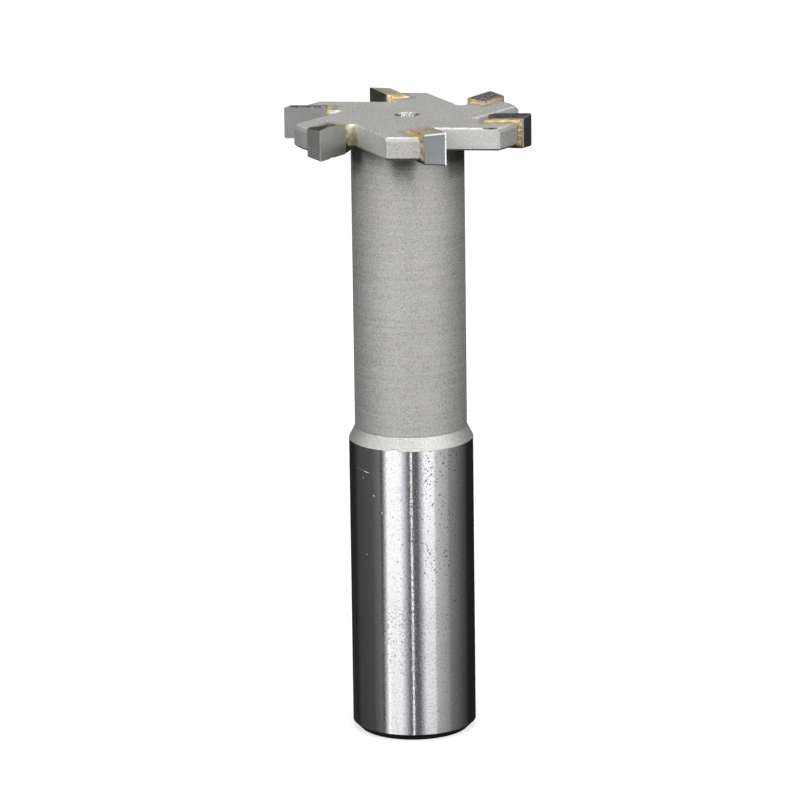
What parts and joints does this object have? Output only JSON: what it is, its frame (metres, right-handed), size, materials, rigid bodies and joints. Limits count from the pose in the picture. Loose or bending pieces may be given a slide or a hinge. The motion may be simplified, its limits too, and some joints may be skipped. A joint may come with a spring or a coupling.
{
  "type": "t slot cutter",
  "caption": "Right-hand T-slot milling cutter with carbide tips brazed into a thin star-shaped head on a long blasted neck and a ground plain shank.",
  "frame": {"origin": "centre of the shank's end face, on the tool axis", "axes": "+Z along the tool axis from the shank to the cutting head; +X to the right and +Y away in the picture's view"},
  "size_m": [0.039, 0.039, 0.1016],
  "materials": {
    "steel": "ground shank, blasted neck and head",
    "carbide": "fine ground",
    "braze": "as brazed, lightly blasted"
  },
  "bodies": {
    "root": {"cutter_body": "steel", "carbide_tip_1": "carbide", "carbide_tip_2": "carbide", "carbide_tip_3": "carbide", "carbide_tip_4": "carbide", "carbide_tip_5": "carbide", "carbide_tip_6": "carbide", "braze_1": "braze", "braze_2": "braze", "braze_3": "braze", "braze_4": "braze", "braze_5": "braze", "braze_6": "braze"}
  },
  "joints": []
}
